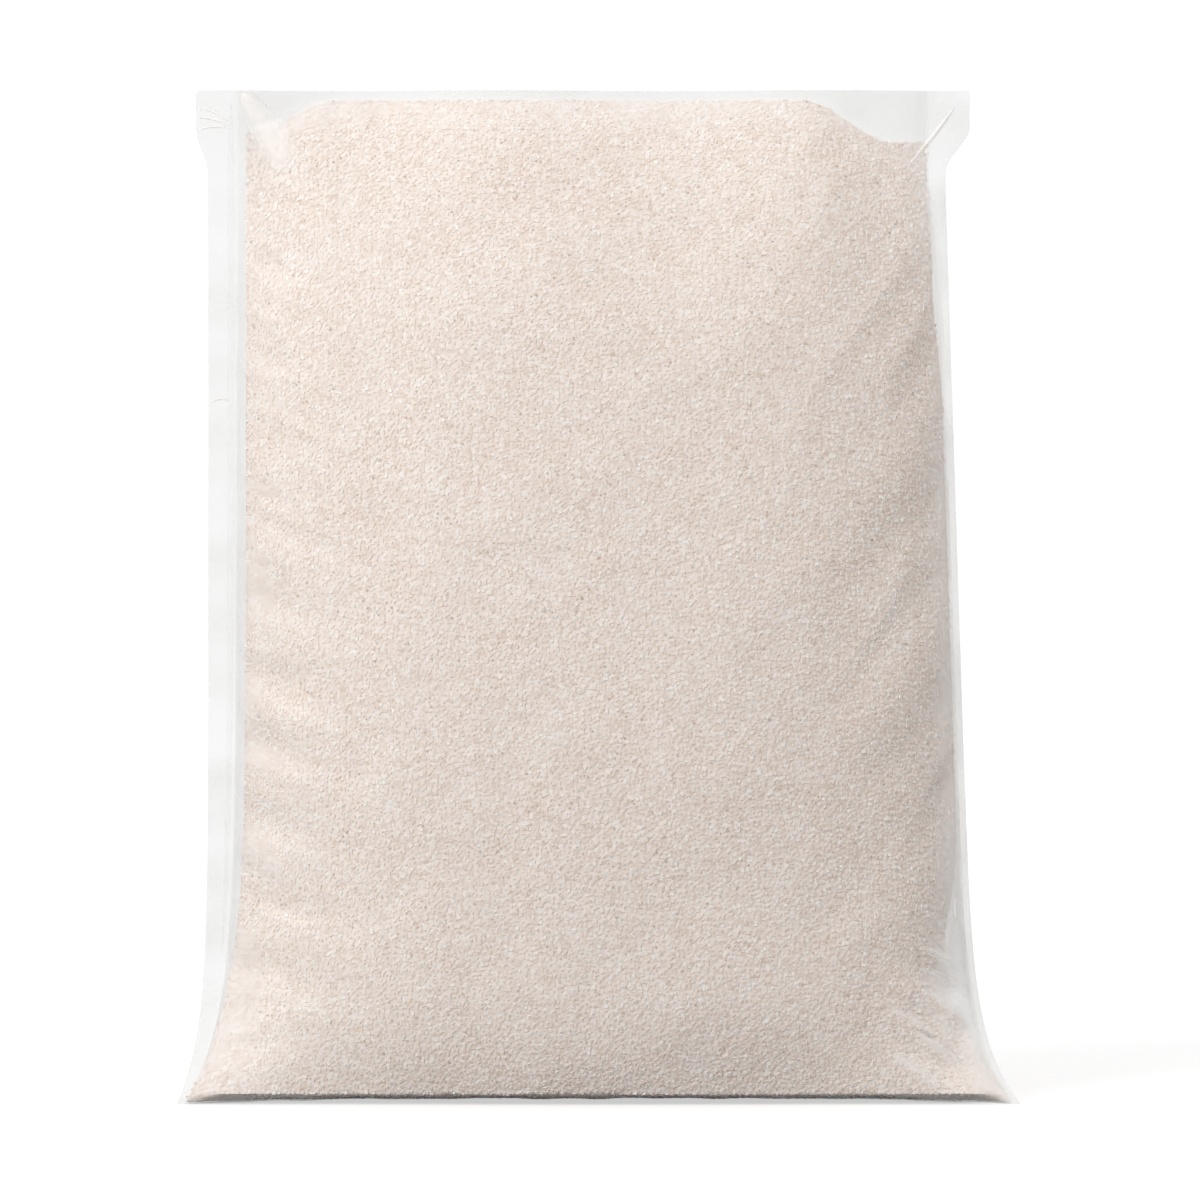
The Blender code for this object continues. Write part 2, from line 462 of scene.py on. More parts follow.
    def puckers(self, x: Values, z: Values, side: Side) -> Values:
        """Give the small wrinkles that fan from the welds, and the sugar's slow swells.

        Args:
            x: the points' x.
            z: the points' z.
            side: which panel.

        Returns:
            The wrinkles' rise at each point.
        """
        seed = Pattern.FRONT_WRINKLES if side is Side.FRONT else Pattern.BACK_WRINKLES
        from_left, from_right = x - self.inner_left(z), self.inner_right(z) - x
        if side is Side.BACK:
            from_left, from_right = from_right, from_left
        fan = self.left_fan.rise_at(from_left, z, seed)
        pull = self.right_fan.rise_at(from_right, z, seed + 1)
        below = self.height - z
        gather = soft_noise(x / self.gather_cell, below / self.gather_length, seed + 2)
        gather = gather * np.exp(-below / self.gather_reach) * self.gather_rise
        swell = soft_noise(x / self.swell_size, z / self.swell_size, seed + 3) * self.swell_rise
        dapple = soft_noise(x / self.dapple_size, z / self.dapple_size, seed + 4) * self.dapple_rise
        return fan + pull + gather + swell + dapple

    def body_offset(self, across: Values, x: Values, z: Values, side: Side) -> Values:
        """Give how far the film stands from the middle, folds and all.

        Args:
            across: share across the body.
            x: the points' x.
            z: the points' z.
            side: which panel.

        Returns:
            The distance from the middle to the film, at least half the weld's thickness.
        """
        depth = self.half_depth(across, z)
        room = smooth_step(depth / self.fold_room_depth) * smooth_step(z / self.fold_fade_height)
        offset = self.weld_half + depth + self.fold_rise(x, z, side) * room
        return np.maximum(offset, self.weld_half)

    def centre_y(self) -> float:
        """Give y of the middle of the plain form's box, which stands over the origin.

        Returns:
            That y.
        """
        across, z = np.meshgrid(np.linspace(-1.0, 1.0, 91), np.linspace(0.0, self.height, 90))
        rise = self.solid_weld_half + self.half_depth(across, z)
        middle = self.middle(across, z)
        return float(np.min(middle - rise) + np.max(middle + rise)) / 2.0

    def film_y(self, x: Values, z: Values, side: Side) -> Values:
        """Give y of one panel's film at some points, in the bag's own frame.

        Args:
            x: the points' x.
            z: the points' z.
            side: which panel.

        Returns:
            Its y at each point.
        """
        across = self.across(x, z)
        offset = self.body_offset(across, x, z, side)
        level = self.middle(across, z) + self.strip_wave(x, z) - self.centre_y()
        return level + side.value * offset


# ---------------------------------------------------------------------------- modelling by hand


def deselect_all() -> None:
    """Leave nothing selected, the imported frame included."""
    bpy.ops.object.select_all(action="DESELECT")


def pick(item: Piece) -> None:
    """Select one object alone and make it the active one.

    Args:
        item: the object.
    """
    deselect_all()
    item.select_set(True)
    bpy.context.view_layer.objects.active = item


def add_grid(name: str, columns: int, rows: int) -> Piece:
    """Add a flat grid, 2 by 2 units, ready to be shaped.

    Args:
        name: the new object's name.
        columns: how many faces wide it is.
        rows: how many faces tall it is.

    Returns:
        The grid.
    """
    deselect_all()
    bpy.ops.mesh.primitive_grid_add(x_subdivisions=columns, y_subdivisions=rows, size=2.0)
    made = bpy.context.object
    made.name = made.data.name = name
    return made


def vertex_places(item: Piece) -> Values:
    """Read the places of an object's vertices, one row each.

    Args:
        item: the object.

    Returns:
        The places.
    """
    places = np.empty(len(item.data.vertices) * 3, np.float32)
    item.data.vertices.foreach_get("co", places)
    return places.reshape(-1, 3).astype(float)


def move_vertices(item: Piece, places: Values) -> None:
    """Move every vertex of an object to its row of places."""
    item.data.vertices.foreach_set("co", places.astype(np.float32).ravel())
    item.data.update()


def grid_shares(item: Piece, columns: int, rows: int) -> tuple[Values, Values]:
    """Read which column and row of its grid each vertex is in.

    Args:
        item: a grid that hasn't been shaped yet.
        columns: how many faces wide it is.
        rows: how many faces tall it is.

    Returns:
        The column number and the row number of each vertex.
    """
    places = vertex_places(item)
    column = np.rint((places[:, 0] + 1.0) / 2.0 * columns).astype(int)
    row = np.rint((places[:, 1] + 1.0) / 2.0 * rows).astype(int)
    return column, row


def panel_rows(
    base_rows: int, round_rows: int, wall_rows: int, round_height: float, height: float
) -> tuple[Values, Values]:
    """Place a panel's rows: out along the base, round the foot and up the wall.

    Args:
        base_rows: how many rows lie on the base.
        round_rows: how many go round the foot.
        wall_rows: how many faces tall the wall is.
        round_height: how high the round goes.
        height: how high the wall goes.

    Returns:
        Each row's height, and its share of the way out from the seam under the base.
    """
    angle = 0.5 * math.pi * np.arange(round_rows) / round_rows
    wall = round_height + (height - round_height) * (np.arange(wall_rows + 1) / wall_rows)
    heights = np.concatenate([np.zeros(base_rows), round_height * (1.0 - np.cos(angle)), wall])
    out = np.ones(len(heights))
    out[:base_rows] = np.arange(base_rows) / base_rows
    return heights, out


def join_pieces(name: str, pieces: list[Piece]) -> Piece:
    """Join some objects into one.

    Args:
        name: the joined object's name.
        pieces: the objects.

    Returns:
        The joined object.
    """
    deselect_all()
    for piece in pieces:
        piece.select_set(True)
    bpy.context.view_layer.objects.active = pieces[0]
    bpy.ops.object.join()
    joined = bpy.context.object
    joined.name = joined.data.name = name
    return joined


def weld_panels(name: str, panels: list[Piece]) -> Piece:
    """Join panels whose borders meet into one closed piece, smooth up to its crisp rim.

    Args:
        name: the joined object's name.
        panels: the panels to join.

    Returns:
        The joined object.
    """
    joined = join_pieces(name, panels)
    bpy.ops.object.mode_set(mode="EDIT")
    bpy.ops.mesh.select_all(action="SELECT")
    bpy.ops.mesh.remove_doubles(threshold=MERGE_DISTANCE)
    bpy.ops.mesh.dissolve_degenerate(threshold=MERGE_DISTANCE)
    bpy.ops.mesh.normals_make_consistent(inside=False)
    bpy.ops.object.mode_set(mode="OBJECT")
    bpy.ops.object.shade_smooth_by_angle(angle=RIM_ANGLE)
    return joined


def paint_attribute(item: Piece, name: str, values: Values) -> None:
    """Store one number for each vertex, for a material to read."""
    layer = item.data.attributes.new(name, "FLOAT", "POINT")
    layer.data.foreach_set("value", values.astype(np.float32))


def hand_over(item: Piece, finish: bpy.types.Material) -> None:
    """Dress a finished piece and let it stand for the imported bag.

    Args:
        item: the piece.
        finish: its material.
    """
    item.data.materials.clear()
    item.data.materials.append(finish)
    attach(item, BODY)
    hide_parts(NODE)
    log.info("%s: %d faces", item.name, len(item.data.polygons))


# ------------------------------------------------------------------------------------- finishes


class NodeBench:
    """A node tree, with short ways to add and link nodes."""

    def __init__(self, tree: bpy.types.NodeTree) -> None:
        """Start on the tree, emptied."""
        self.tree = tree
        tree.nodes.clear()

    def feed(self, socket: Socket, value: object) -> None:
        """Give one input its value.

        Args:
            socket: the input.
            value: a constant, a colour without its alpha, or the output to link.
        """
        if isinstance(value, Socket):
            self.tree.links.new(value, socket)
        else:
            socket.default_value = (*value, 1.0) if socket.type == "RGBA" else value

    def add(self, kind: str, settings: dict[str, object] | None = None, **inputs: object) -> bpy.types.Node:
        """Add a node.

        Args:
            kind: the node's type name.
            settings: its own settings, by name.
            **inputs: what its inputs get, by name with _ for a space.

        Returns:
            The node.
        """
        node = self.tree.nodes.new(kind)
        for name, value in (settings or {}).items():
            setattr(node, name, value)
        for name, value in inputs.items():
            self.feed(node.inputs[name.replace("_", " ")], value)
        return node

    def chain(self, kind: str, settings: dict[str, object], *values: object) -> Socket:
        """Add a node and feed its inputs in their order.

        Args:
            kind: the node's type name.
            settings: its own settings, by name.
            *values: what its inputs get.

        Returns:
            Its first output.
        """
        node = self.add(kind, settings)
        for socket, value in zip(node.inputs, values):
            self.feed(socket, value)
        return node.outputs[0]


class SurfaceBench(NodeBench):
    """The nodes of a material or a world."""

    def __init__(self, owner: bpy.types.Material | bpy.types.World) -> None:
        """Start on the owner's tree, emptied.

        Args:
            owner: the material or the world.
        """
        owner.use_nodes = True
        super().__init__(owner.node_tree)
        self.owner = owner

    def math(self, operation: str, first: object, second: object, clamp: bool = False) -> Socket:
        """Add a Math node on two constants or outputs and give its value."""
        return self.chain("ShaderNodeMath", {"operation": operation, "use_clamp": clamp}, first, second)

    def mix(self, share: object, first: object, second: object) -> Socket:
        """Mix two shaders by the second one's share."""
        return self.chain("ShaderNodeMixShader", {}, share, first, second)

    def ramp(self, source: Socket, stops: list[tuple[float, Triple]]) -> Socket:
        """Add a colour ramp.

        Args:
            source: the value it reads.
            stops: place and colour of each stop, in order.

        Returns:
            Its colour.
        """
        node = self.add("ShaderNodeValToRGB", Fac=source)
        elements = node.color_ramp.elements
        while len(elements) < len(stops):
            elements.new(0.5)
        for element, (place, colour) in zip(elements, stops):
            element.position, element.color = place, (*colour, 1.0)
        return node.outputs["Color"]

    def attribute(self, name: str) -> Socket:
        """Read one of the piece's own attributes."""
        return self.add("ShaderNodeAttribute", {"attribute_name": name}).outputs["Fac"]

    def place(self) -> Socket:
        """Give the Object coordinates."""
        return self.add("ShaderNodeTexCoord").outputs["Object"]

    def rays(self, *kinds: str) -> Socket:
        """Give 1 on rays of some kinds and 0 on the others.

        Args:
            *kinds: the kinds, such as Camera.

        Returns:
            The value.
        """
        path = self.add("ShaderNodeLightPath")
        found = path.outputs[f"Is {kinds[0]} Ray"]
        for kind in kinds[1:]:
            found = self.math("ADD", found, path.outputs[f"Is {kind} Ray"], clamp=True)
        return found

    def bump(self, height: Socket, strength: float, distance: float) -> Socket:
        """Add a Bump node on a height and give its normal."""
        node = self.add("ShaderNodeBump", Strength=strength, Distance=distance, Height=height)
        return node.outputs["Normal"]

    def finish(self, shader: Socket) -> bpy.types.Material | bpy.types.World:
        """Link the last shader to an output and give the material or the world.

        Args:
            shader: the last shader.

        Returns:
            The material or the world.
        """
        kind = "World" if isinstance(self.owner, bpy.types.World) else "Material"
        self.add(f"ShaderNodeOutput{kind}", Surface=shader)
        return self.owner


@dataclass(frozen=True)
class FilmFinish:
    """Thin clear film: it lets most light through, shines, and is hazy where it stands off. Its white haze
    also paints the highlights of a few creases and one glint, and part of the sheen along the right weld.
    """

    name: str = "clear_film"
    tint: Triple = (0.968, 0.971, 0.969)
    straight_gloss: float = 0.055
    grazing_gloss: float = 0.55
    gloss_power: float = 4.0
    gloss_roughness: float = 0.14
    haze_colour: Triple = (0.87, 0.867, 0.858)
    haze_roughness: float = 0.38
    grain: float = 620.0
    grain_detail: float = 3.0
    grain_roughness: float = 0.55
    grain_strength: float = 0.35
    grain_depth: float = 0.00010

    def material(self) -> bpy.types.Material:
        """Build the material, which reads the film's haze and lets the light in to the sugar.

        Returns:
            The material.
        """
        bench = SurfaceBench(bpy.data.materials.new(self.name))
        noise = bench.add(
            "ShaderNodeTexNoise",
            Vector=bench.place(),
            Scale=self.grain,
            Detail=self.grain_detail,
            Roughness=self.grain_roughness,
        )
        normal = bench.bump(noise.outputs["Fac"], self.grain_strength, self.grain_depth)
        facing = bench.add("ShaderNodeLayerWeight", Blend=0.5, Normal=normal)
        steep = bench.math("POWER", facing.outputs["Facing"], self.gloss_power)
        gloss = bench.math("MULTIPLY", steep, self.grazing_gloss)
        gloss = bench.math("ADD", gloss, self.straight_gloss, clamp=True)
        clear = bench.add("ShaderNodeBsdfTransparent", Color=self.tint).outputs[0]
        shine = bench.add("ShaderNodeBsdfGlossy", Roughness=self.gloss_roughness, Normal=normal)
        milky = bench.add(
            "ShaderNodeBsdfPrincipled", Base_Color=self.haze_colour, Roughness=self.haze_roughness
        )
        film = bench.mix(gloss, clear, shine.outputs[0])
        film = bench.mix(bench.attribute("haze"), film, milky.outputs[0])
        return bench.finish(bench.mix(bench.rays("Shadow", "Diffuse"), film, clear))


@dataclass(frozen=True)
class SugarFinish:
    """Packed raw sugar: grains of a few pale browns, each with its own rounded top."""

    name: str = "packed_sugar"
    grain_size: float = 0.00100
    relief: float = 0.00014
    relief_strength: float = 0.8
    roughness: float = 0.50
    browns: tuple[Triple, ...] = (
        (0.76, 0.61, 0.515),
        (0.83, 0.69, 0.605),
        (0.875, 0.755, 0.68),
        (0.90, 0.80, 0.735),
        (0.935, 0.86, 0.815),
    )
    places: tuple[float, ...] = (0.0, 0.10, 0.42, 0.78, 1.0)

    def material(self) -> bpy.types.Material:
        """Build the material on Object coordinates.

        Returns:
            The material.
        """
        bench = SurfaceBench(bpy.data.materials.new(self.name))
        grains = bench.add("ShaderNodeTexVoronoi", Vector=bench.place(), Scale=1.0 / self.grain_size)
        split = bench.add("ShaderNodeSeparateColor", Color=grains.outputs["Color"])
        tops = bench.math("SUBTRACT", 1.0, grains.outputs["Distance"])
        shader = bench.add(
            "ShaderNodeBsdfPrincipled",
            Base_Color=bench.ramp(split.outputs["Red"], list(zip(self.places, self.browns))),
            Roughness=self.roughness,
            Normal=bench.bump(tops, self.relief_strength, self.relief),
        )
        return bench.finish(shader.outputs[0])


@dataclass(frozen=True)
class CrystalFinish:
    """One kind of loose crystal: its two end colours and its gloss."""

    name: str
    dark: Triple
    light: Triple
    roughness: float
    patch_size: float = 0.011
    patch_detail: float = 2.0
    patch_contrast: float = 3.0
    patch_share: float = 0.60

    def material(self) -> bpy.types.Material:
        """Build the material: each crystal's own shade, made darker or paler in slow patches.

        Returns:
            The material.
        """
        bench = SurfaceBench(bpy.data.materials.new(self.name))
        patches = bench.add(
            "ShaderNodeTexNoise",
            Vector=bench.place(),
            Scale=1.0 / self.patch_size,
            Detail=self.patch_detail,
        )
        slow = bench.math("SUBTRACT", patches.outputs["Fac"], 0.5)
        for factor in (self.patch_contrast, self.patch_share):
            slow = bench.math("MULTIPLY", slow, factor)
        shown = bench.math("ADD", bench.attribute("shade"), slow, clamp=True)
        colour = bench.ramp(shown, [(0.0, self.dark), (1.0, self.light)])
        shader = bench.add("ShaderNodeBsdfPrincipled", Base_Color=colour, Roughness=self.roughness)
        return bench.finish(shader.outputs[0])


# --------------------------------------------------------------------------------- sub-assemblies


@dataclass(frozen=True)
class FilmHaze:
    """How milky the film is: over the sugar, in its crumples and on the side strips. Part of the white along
    the right weld and on the crumples is painted sheen and highlight.
    """

    least: float = 0.155
    left: float = 0.10
    left_reach: float = 0.011
    # Along the right weld: milky film where it stands off the sugar, and partly a painted sheen that
    # lightens this shaded edge.
    right: float = 0.32
    right_reach: float = 0.0045
    level: float = 0.20
    level_reach: float = 0.0065
    right_gap: SoftSpot = SoftSpot(0.0, 0.033, 0.005, 0.020, 0.30)  # x is from the right weld
    corners: tuple[SoftSpot, ...] = (
        SoftSpot(-0.082, 0.0, 0.014, 0.034, 0.05),
        SoftSpot(0.086, 0.0, 0.014, 0.026, 0.12),
    )
    mottle: float = 0.30
    mottle_cell: tuple[float, float] = (0.007, 0.011)
    mottle_start: float = 9.0
    # Over the right ear: milky crumpled film, partly painted highlights along the ridges.
    ear: SoftSpot = SoftSpot(0.079, 0.021, 0.013, 0.017, 0.34)
    ridge_turn: tuple[float, float] = (0.77, 0.64)
    ridge_cell: tuple[float, float] = (0.0040, 0.011)
    ridge_sharpness: float = 2.6
    ridge_bend: float = 0.0016
    ridge_bend_cell: float = 0.006
    fan: Fan = Fan(0.0060, 0.030, 0.42, 0.020, 0.06)
    fan_sharpness: float = 2.2
    left_strip: float = 0.15
    right_strip: float = 0.16
    right_strip_more: float = 0.26
    right_strip_clear_from: float = 0.206
    right_strip_clearing: float = 0.010
    strip_patches: float = 0.16
    strip_cell: tuple[float, float] = (0.007, 0.012)
    strip_foot: float = 0.22
    strip_foot_reach: float = 0.014
    border: float = 0.0016
    border_start: float = 0.2

    def crumples(self, form: BagForm, x: Values, z: Values) -> Values:
        """Give what the ridges over the right ear and by the left weld add at some points. Over the right
        ear this white is partly painted highlight on the ridges.

        Args:
            form: the bag's form.
            x: the points' x.
            z: the points' z.

        Returns:
            The haze that they add.
        """
        turn, rise = self.ridge_turn
        along, over = turn * x - rise * z, rise * x + turn * z
        size = self.ridge_bend_cell
        over = over + self.ridge_bend * soft_noise(along / size, over / size, Pattern.RIDGE_BENDS)
        across_cell, along_cell = self.ridge_cell
        ridge = soft_noise(over / across_cell, along / along_cell, Pattern.RIDGES)
        ridge = np.clip(1.0 - self.ridge_sharpness * np.abs(ridge), 0.0, 1.0)
        inwards = np.maximum(0.0, x - form.inner_left(z))
        fan = np.clip(self.fan.ridges(inwards, z, Pattern.HAZE_FAN, self.fan_sharpness), 0.0, 1.0)
        return self.ear.at(x, z) * ridge + self.fan.rise * fan * bell(inwards, self.fan.reach)

    def strips(self, x: Values, z: Values) -> Values:
        """Give the haze of the two side strips at some points.

        Args:
            x: the points' x.
            z: the points' z.

        Returns:
            The haze at each point, as if all of it were strip.
        """
        low = smooth_step((self.right_strip_clear_from - z) / self.right_strip_clearing)
        strip = np.where(x < 0.0, self.left_strip, self.right_strip + self.right_strip_more * low)
        up, out = self.strip_cell
        strip = strip + self.strip_patches * soft_noise(z / up, x / out, Pattern.STRIP_HAZE)
        return strip + self.strip_foot * np.exp(-z / self.strip_foot_reach)

    def at(self, form: BagForm, x: Values, z: Values) -> Values:
        """Give how milky the film is at some points.

        Args:
            form: the bag's form.
            x: the points' x.
            z: the points' z.

        Returns:
            The share of light that the film scatters, from 0 to 1.
        """
        from_left, from_right = x - form.inner_left(z), form.inner_right(z) - x
        under_level = form.height - z - form.level_below_top(form.across(x, z))
        haze = self.least + self.left * bell(from_left, self.left_reach)
        # The right weld's band is partly painted sheen over a shaded edge.
        haze += self.right * bell(from_right, self.right_reach) + self.right_gap.at(from_right, z)
        haze += self.level * bell(np.maximum(0.0, under_level), self.level_reach)
        haze += sum(corner.at(x, z) for corner in self.corners) + self.crumples(form, x, z)
        nearest = np.minimum(from_left, from_right)
        strip = self.strips(x, z)
        haze = strip + (haze - strip) * smooth_step(nearest / self.border + self.border_start)
        wide, tall = self.mottle_cell
        mottle = soft_noise(x / wide + self.mottle_start, z / tall, Pattern.MOTTLE)
        return np.clip(haze * (1.0 + self.mottle * mottle), 0.0, 1.0)


@dataclass
class Film:
    """The film itself: a front and a back panel, welded along their borders."""

    form: BagForm
    left_columns: int = 9
    body_columns: int = 146
    right_columns: int = 4
    base_rows: int = 4
    round_rows: int = 8
    wall_rows: int = 236
    side_crowding: float = 0.35
    haze: FilmHaze = FilmHaze()

    def column_shares(self) -> tuple[Values, Values]:
        """Give the part of each column, -1 left strip, 0 body, 1 right strip, and its share.

        Returns:
            The part and the share of each column.
        """
        left = np.arange(self.left_columns) / self.left_columns
        body = np.arange(self.body_columns) / self.body_columns
        right = np.arange(self.right_columns + 1) / self.right_columns
        part = np.repeat([-1, 0, 1], [len(left), len(body), len(right)])
        return part, np.concatenate([left, body, right])

    def panel(self, side: Side) -> Piece:
        """Shape one panel from a grid.

        Args:
            side: which panel.

        Returns:
            The panel, its border on the middle surface.
        """
        form = self.form
        part, share = self.column_shares()
        heights, out = panel_rows(
            self.base_rows, self.round_rows, self.wall_rows, form.foot_round_height, form.height
        )
        columns, rows = len(share) - 1, len(heights) - 1
        made = add_grid(f"film_{side.name.lower()}", columns, rows)
        column, row = grid_shares(made, columns, rows)
        part, share, z, out = part[column], share[column], heights[row], out[row]
        even = 2.0 * share - 1.0
        across = even + self.side_crowding * (np.sin(math.pi * (share - 0.5)) - even)
        across = np.where(part == 0, across, np.sign(part) * 1.0)
        inner_left, inner_right = form.inner_left(z), form.inner_right(z)
        outer_left, outer_right = form.left_edge(z), form.right_edge(z)
        x = inner_left + (across + 1.0) / 2.0 * (inner_right - inner_left)
        x = np.where(part < 0, outer_left + share * (inner_left - outer_left), x)
        x = np.where(part > 0, inner_right + share * (outer_right - inner_right), x)
        offset = form.body_offset(across, x, z, side) * out
        border = (column == 0) | (column == columns) | (row == rows)
        offset = np.where(border, 0.0, offset)
        level = form.middle(across, z) + form.strip_wave(x, z) - form.centre_y()
        y = level + side.value * offset
        move_vertices(made, np.stack([x, y, z], axis=1))
        return made

    def build(self, finish: FilmFinish) -> None:
        """Model, weld and dress the film.

        Args:
            finish: its material.
        """
        film = weld_panels("film", [self.panel(side) for side in Side])
        x, _, z = vertex_places(film).T
        paint_attribute(film, "haze", self.haze.at(self.form, x, z))
        hand_over(film, finish.material())


@dataclass(frozen=True)
class Pleat:
    """A flattened fold of spare film that lies on the front panel.

    Args:
        points: x and z of the points that its middle line is drawn towards, end to end.
        half_widths: half its width at each of those points.
        rise: how far it stands off the film.
        haze: how milky it is; on the thin creases and the glint this white is a painted highlight, and on
            the wide pleat and the crumples it is partly painted reflection and highlight.
        crest: where its highest line runs, from -1 at one edge to 1 at the other.
        fade: the share of its haze that is gone at its far end.
    """

    points: tuple[tuple[float, float], ...]
    half_widths: tuple[float, ...]
    rise: float
    haze: float
    crest: float = 0.0
    fade: float = 0.4

    def middle_line(self, along: Values) -> tuple[Values, Values]:
        """Give x and z of the middle line, a Bezier curve, at shares along it.

        Args:
            along: shares along it.

        Returns:
            Its x and its z.
        """
        count = len(self.points) - 1
        x, z = np.zeros_like(along), np.zeros_like(along)
        for index, (point_x, point_z) in enumerate(self.points):
            weight = math.comb(count, index) * along**index * (1.0 - along) ** (count - index)
            x, z = x + weight * point_x, z + weight * point_z
        return x, z

    def half_width(self, along: Values, end_round: float) -> Values:
        """Give half the width at shares along it, rounded off at both ends.

        Args:
            along: shares along it.
            end_round: the share at each end that is rounded off.

        Returns:
            Half the width at each share.
        """
        knots = np.linspace(0.0, 1.0, len(self.half_widths))
        from_end = np.clip(np.minimum(along, 1.0 - along) / end_round, 0.0, 1.0)
        return np.interp(along, knots, self.half_widths) * np.sqrt(1.0 - (1.0 - from_end) ** 2)

    def section(self, across: Values) -> Values:
        """Give its height, from 0 to 1, at places across it from -1 to 1."""
        leaned = across - self.crest * (1.0 - across * across)
        return np.cos(0.5 * math.pi * leaned) ** 2


@dataclass
class FilmFolds:
    """The flattened folds of spare film: at the corners, on the welds and above the foot, and a small one on
    the right edge whose white is a painted glint.
    """

    form: BagForm
    pleats: tuple[Pleat, ...]
    columns: int = 14
    rows: int = 44
    end_round: float = 0.10
    stand_off: float = 0.00007
    step: float = 0.001
    haze_power: float = 0.45

    def sheet(self, pleat: Pleat, outer: bool) -> Piece:
        """Shape the outer or the inner face of one pleat from a grid.

        Args:
            pleat: the pleat.
            outer: whether this is the face that stands off the film.

        Returns:
            The face; both faces have the same border.
        """
        made = add_grid("pleat_face", self.columns, self.rows)
        column, row = grid_shares(made, self.columns, self.rows)
        across, along = 2.0 * column / self.columns - 1.0, row / self.rows
        x, z = pleat.middle_line(along)
        ahead_x, ahead_z = pleat.middle_line(along + self.step)
        run_x, run_z = ahead_x - x, ahead_z - z
        length = np.hypot(run_x, run_z)
        out = across * pleat.half_width(along, self.end_round)
        x, z = x + out * run_z / length, z - out * run_x / length
        lift = self.stand_off
        if outer:
            lift = lift + pleat.rise * pleat.section(across) * np.sqrt(np.sin(math.pi * along))
        border = (column == 0) | (column == self.columns) | (row == 0) | (row == self.rows)
        lift = np.where(border, self.stand_off, lift)
        y = self.form.film_y(x, z, Side.FRONT) - lift
        move_vertices(made, np.stack([x, y, z], axis=1))
        shown = pleat.haze if outer else 0.0
        # Painted haze: milky film, and on the thin creases and the glint a painted highlight.
        milky = shown * pleat.section(across) ** self.haze_power * (1.0 - pleat.fade * along)
        paint_attribute(made, "haze", np.where(border, 0.0, milky))
        return made

    def build(self, finish: FilmFinish) -> None:
        """Model every pleat as a closed sleeve, join them into one piece and dress it.

        Args:
            finish: its material.
        """
        sleeves = [
            weld_panels(f"pleat_{number}", [self.sheet(pleat, outer) for outer in (True, False)])
            for number, pleat in enumerate(self.pleats)
        ]
        hand_over(join_pieces("film_folds", sleeves), finish.material())


@dataclass
class SugarCore:
    """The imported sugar, just inside the film, up to its own level."""

    form: BagForm
    columns: int = 120
    rows: int = 170
    round_rows: int = 6
    base_rows: int = 3
    gap: float = 0.00062
    thinnest: float = 0.35
    left_margin: float = 0.0022
    left_margin_fade: float = 0.030
    right_margin: float = 0.0008
    right_margin_rise: float = 0.012
    right_top_margin: float = 0.0015
    right_top_height: float = 0.178
    right_top_reach: float = 0.014
    right_low_margin: float = 0.0042
    right_low_height: float = 0.031
    right_low_reach: float = 0.015
    side_power: float = 9.0
    foot: float = 0.0006
    side_crowding: float = 0.45

    def margins(self, z: Values) -> tuple[Values, Values]:
        """Give how far the sugar stays inside each weld.

        Args:
            z: heights.

        Returns:
            The empty width at the left weld and at the right one.
        """
        left = self.left_margin * (1.0 - bell(z, self.left_margin_fade))
        right = self.right_margin * smooth_step(z / self.right_margin_rise)
        right = right + self.right_top_margin * bell(z - self.right_top_height, self.right_top_reach)
        right = right + self.right_low_margin * bell(z - self.right_low_height, self.right_low_reach)
        return left, right

    def panel(self, side: Side) -> Piece:
        """Shape one side of the core from a grid.

        Args:
            side: which side.

        Returns:
            The panel, its border on the middle surface.
        """
        form = self.form
        round_share = form.foot_round_height / form.height
        tall, out = panel_rows(self.base_rows, self.round_rows, self.rows, round_share, 1.0)
        count = len(tall) - 1
        made = add_grid(f"core_{side.name.lower()}", self.columns, count)
        column, row = grid_shares(made, self.columns, count)
        even = 2.0 * column / self.columns - 1.0
        across = even + self.side_crowding * (np.sin(math.pi * even / 2.0) - even)
        top = form.height - form.level_below_top(across) - self.foot
        z = self.foot + tall[row] * (top - self.foot)
        left_margin, right_margin = self.margins(z)
        left, right = form.inner_left(z) + left_margin, form.inner_right(z) - right_margin
        x = left + (across + 1.0) / 2.0 * (right - left)
        film_across = form.across(x, z)
        film = form.body_offset(film_across, x, z, side)
        offset = np.maximum(film - self.gap, self.thinnest * (film - form.weld_half)) * out[row]
        offset *= np.sqrt(1.0 - np.abs(across) ** (2.0 * self.side_power))
        border = (column == 0) | (column == self.columns) | (row == count)
        offset = np.where(border, 0.0, offset)
        y = form.middle(film_across, z) + side.value * offset - form.centre_y()
        move_vertices(made, np.stack([x, y, z], axis=1))
        return made

    def build(self, finish: SugarFinish) -> Piece:
        """Model, close and dress the core.

        Args:
            finish: its material.

        Returns:
            The core.
        """
        core = weld_panels("sugar_core", [self.panel(side) for side in Side])
        hand_over(core, finish.material())
        return core


class CrystalShape(Enum):
    """The two habits of the crystals: a slanted block and a three-sided chip."""

    BLOCK = "block"
    CHIP = "chip"


